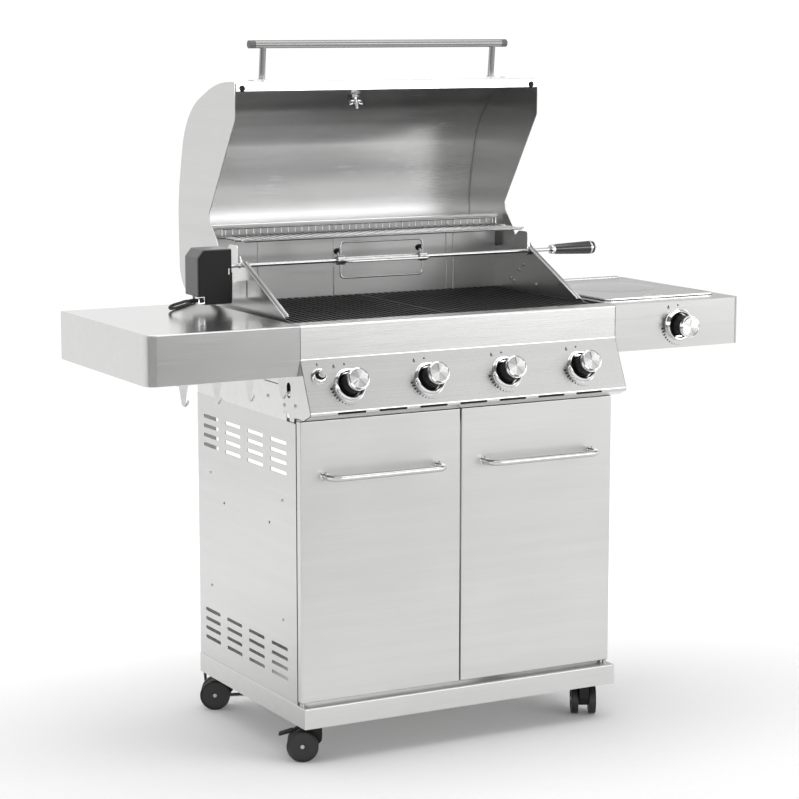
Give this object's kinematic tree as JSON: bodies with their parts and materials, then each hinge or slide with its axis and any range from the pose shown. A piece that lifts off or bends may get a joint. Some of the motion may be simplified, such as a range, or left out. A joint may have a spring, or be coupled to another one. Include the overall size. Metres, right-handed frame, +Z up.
{
  "type": "gas barbecue grill",
  "caption": "Free-standing gas grill on casters with an opening lid, rotisserie, control knobs, side shelves with a side burner, and a two-door cabinet.",
  "frame": {"origin": "on the floor, under the middle of the whole grill's outline with its lid open", "axes": "+Z up, +X to the cook's right, +Y from the control panel to the back"},
  "size_m": [1.3186, 0.6446, 1.3743],
  "materials": {
    "brushed_sheet": "brushed stainless steel sheet",
    "bright_sheet": "bright, finely brushed stainless steel",
    "chrome_trim": "polished chrome",
    "steel_wire": "drawn stainless wire and rod",
    "cast_iron": "black enamelled cast iron",
    "black_plastic": "black moulded plastic",
    "caster_tyre": "hard black caster wheel",
    "gas_brass": "drawn brass and plated valves",
    "zinc_hardware": "dark plated steel hardware",
    "cord_rubber": "black flexible cord jacket"
  },
  "bodies": {
    "cabinet": {"base_tray": "brushed_sheet", "side_panel_left": "brushed_sheet", "side_panel_right": "brushed_sheet", "rear_frame": "brushed_sheet", "front_rail": "brushed_sheet", "mounting_hardware": "zinc_hardware", "firebox_sides": "bright_sheet", "firebox_rear": "bright_sheet", "firebox_front": "brushed_sheet", "firebox_floor": "brushed_sheet", "burner_tubes": "brushed_sheet", "flame_tamers": "brushed_sheet", "gas_manifold": "gas_brass", "grates": "cast_iron", "warming_rack": "steel_wire", "control_panel": "bright_sheet", "knob_bezels": "chrome_trim", "shelf_left": "brushed_sheet", "shelf_right": "brushed_sheet", "tool_hooks": "brushed_sheet", "side_burner": "cast_iron", "rotisserie_motor": "black_plastic", "motor_bracket": "brushed_sheet", "motor_cord": "cord_rubber", "cord_coil": "cord_rubber", "cord_plug": "cord_rubber"},
    "lid": {"lid_skin": "bright_sheet", "lid_ends": "bright_sheet", "lid_handle": "steel_wire", "thermometer": "chrome_trim"},
    "left_door": {"door_left": "brushed_sheet", "door_handle_left": "chrome_trim"},
    "right_door": {"door_right": "brushed_sheet", "door_handle_right": "chrome_trim"},
    "tray": {"grease_tray": "brushed_sheet"},
    "igniter": {"igniter_button": "chrome_trim"},
    "side_lid": {"side_burner_lid": "bright_sheet"},
    "spit": {"spit_rod": "steel_wire", "spit_forks": "steel_wire", "spit_handle": "black_plastic"},
    "stem_1": {"valve_stem_1": "gas_brass"},
    "dial_1": {"knob_1": "black_plastic"},
    "stem_2": {"valve_stem_2": "gas_brass"},
    "dial_2": {"knob_2": "black_plastic"},
    "stem_3": {"valve_stem_3": "gas_brass"},
    "dial_3": {"knob_3": "black_plastic"},
    "stem_4": {"valve_stem_4": "gas_brass"},
    "dial_4": {"knob_4": "black_plastic"},
    "stem_5": {"valve_stem_5": "gas_brass"},
    "dial_5": {"knob_5": "black_plastic"},
    "swivel_1": {"caster_1": "black_plastic"},
    "wheel_pair_1": {"wheels_1": "caster_tyre"},
    "brake_1": {"brake_lever_1": "black_plastic"},
    "swivel_2": {"caster_2": "black_plastic"},
    "wheel_pair_2": {"wheels_2": "caster_tyre"},
    "brake_2": {"brake_lever_2": "black_plastic"},
    "swivel_3": {"caster_3": "black_plastic"},
    "wheel_pair_3": {"wheels_3": "caster_tyre"},
    "swivel_4": {"caster_4": "black_plastic"},
    "wheel_pair_4": {"wheels_4": "caster_tyre"}
  },
  "joints": [
    {"name": "lid_hinge", "type": "hinge", "parent": "cabinet", "child": "lid", "pos_m": [0, 0.144, 0.923], "axis": [1, 0, 0], "range_deg": [0, 83.7]},
    {"name": "left_door_hinge", "type": "hinge", "parent": "cabinet", "child": "left_door", "pos_m": [-0.3445, -0.238, 0.39], "axis": [0, 0, -1], "range_deg": [0, 105]},
    {"name": "right_door_hinge", "type": "hinge", "parent": "cabinet", "child": "right_door", "pos_m": [0.3445, -0.238, 0.39], "axis": [0, 0, 1], "range_deg": [0, 105]},
    {"name": "grease_tray_slide", "type": "slide", "parent": "cabinet", "child": "tray", "axis": [0, 1, 0], "range_m": [0, 0.36]},
    {"name": "igniter_push", "type": "slide", "parent": "cabinet", "child": "igniter", "axis": [0, 0.9135, -0.4067], "range_m": [0, 0.004], "stiffness_N_per_m": 500, "springref_m": -0.004},
    {"name": "side_burner_lid_hinge", "type": "hinge", "parent": "cabinet", "child": "side_lid", "pos_m": [0.506, 0.162, 0.855], "axis": [-1, 0, 0], "range_deg": [0, 25]},
    {"name": "spit_spin", "type": "hinge", "parent": "cabinet", "child": "spit", "pos_m": [0, 0.053, 0.936], "axis": [1, 0, 0], "continuous": true},
    {"name": "knob_1_push", "type": "slide", "parent": "cabinet", "child": "stem_1", "axis": [0, 0.9135, -0.4067], "range_m": [0, 0.004], "stiffness_N_per_m": 500, "springref_m": -0.004},
    {"name": "knob_1_turn", "type": "hinge", "parent": "stem_1", "child": "dial_1", "pos_m": [-0.258, -0.27396, 0.73667], "axis": [0, -0.9135, 0.4067], "range_deg": [-128, 82]},
    {"name": "knob_2_push", "type": "slide", "parent": "cabinet", "child": "stem_2", "axis": [0, 0.9135, -0.4067], "range_m": [0, 0.004], "stiffness_N_per_m": 500, "springref_m": -0.004},
    {"name": "knob_2_turn", "type": "hinge", "parent": "stem_2", "child": "dial_2", "pos_m": [-0.086, -0.27396, 0.73667], "axis": [0, -0.9135, 0.4067], "range_deg": [0, 210]},
    {"name": "knob_3_push", "type": "slide", "parent": "cabinet", "child": "stem_3", "axis": [0, 0.9135, -0.4067], "range_m": [0, 0.004], "stiffness_N_per_m": 500, "springref_m": -0.004},
    {"name": "knob_3_turn", "type": "hinge", "parent": "stem_3", "child": "dial_3", "pos_m": [0.086, -0.27396, 0.73667], "axis": [0, -0.9135, 0.4067], "range_deg": [0, 210]},
    {"name": "knob_4_push", "type": "slide", "parent": "cabinet", "child": "stem_4", "axis": [0, 0.9135, -0.4067], "range_m": [0, 0.004], "stiffness_N_per_m": 500, "springref_m": -0.004},
    {"name": "knob_4_turn", "type": "hinge", "parent": "stem_4", "child": "dial_4", "pos_m": [0.258, -0.27396, 0.73667], "axis": [0, -0.9135, 0.4067], "range_deg": [0, 210]},
    {"name": "knob_5_push", "type": "slide", "parent": "cabinet", "child": "stem_5", "axis": [0, 1, 0], "range_m": [0, 0.004], "stiffness_N_per_m": 500, "springref_m": -0.004},
    {"name": "knob_5_turn", "type": "hinge", "parent": "stem_5", "child": "dial_5", "pos_m": [0.506, -0.252, 0.802], "axis": [0, -1, 0], "range_deg": [0, 210]},
    {"name": "caster_1_swivel", "type": "hinge", "parent": "cabinet", "child": "swivel_1", "pos_m": [-0.308, -0.22, 0.06], "axis": [0, 0, 1], "continuous": true},
    {"name": "wheels_1_spin", "type": "hinge", "parent": "swivel_1", "child": "wheel_pair_1", "pos_m": [-0.32911, -0.20859, 0.031], "axis": [0.4756, 0.8796, 0], "continuous": true},
    {"name": "brake_1_press", "type": "hinge", "parent": "swivel_1", "child": "brake_1", "pos_m": [-0.32911, -0.20859, 0.031], "axis": [-0.4756, -0.8796, 0], "range_deg": [0, 12]},
    {"name": "caster_2_swivel", "type": "hinge", "parent": "cabinet", "child": "swivel_2", "pos_m": [0.308, -0.22, 0.06], "axis": [0, 0, 1], "continuous": true},
    {"name": "wheels_2_spin", "type": "hinge", "parent": "swivel_2", "child": "wheel_pair_2", "pos_m": [0.31941, -0.19889, 0.031], "axis": [0.8796, -0.4756, 0], "continuous": true},
    {"name": "brake_2_press", "type": "hinge", "parent": "swivel_2", "child": "brake_2", "pos_m": [0.31941, -0.19889, 0.031], "axis": [-0.8796, 0.4756, 0], "range_deg": [0, 12]},
    {"name": "caster_3_swivel", "type": "hinge", "parent": "cabinet", "child": "swivel_3", "pos_m": [-0.308, 0.19, 0.06], "axis": [0, 0, 1], "continuous": true},
    {"name": "wheels_3_spin", "type": "hinge", "parent": "swivel_3", "child": "wheel_pair_3", "pos_m": [-0.32911, 0.20141, 0.031], "axis": [0.4756, 0.8796, 0], "continuous": true},
    {"name": "caster_4_swivel", "type": "hinge", "parent": "cabinet", "child": "swivel_4", "pos_m": [0.308, 0.19, 0.06], "axis": [0, 0, 1], "continuous": true},
    {"name": "wheels_4_spin", "type": "hinge", "parent": "swivel_4", "child": "wheel_pair_4", "pos_m": [0.31941, 0.21111, 0.031], "axis": [0.8796, -0.4756, 0], "continuous": true}
  ]
}
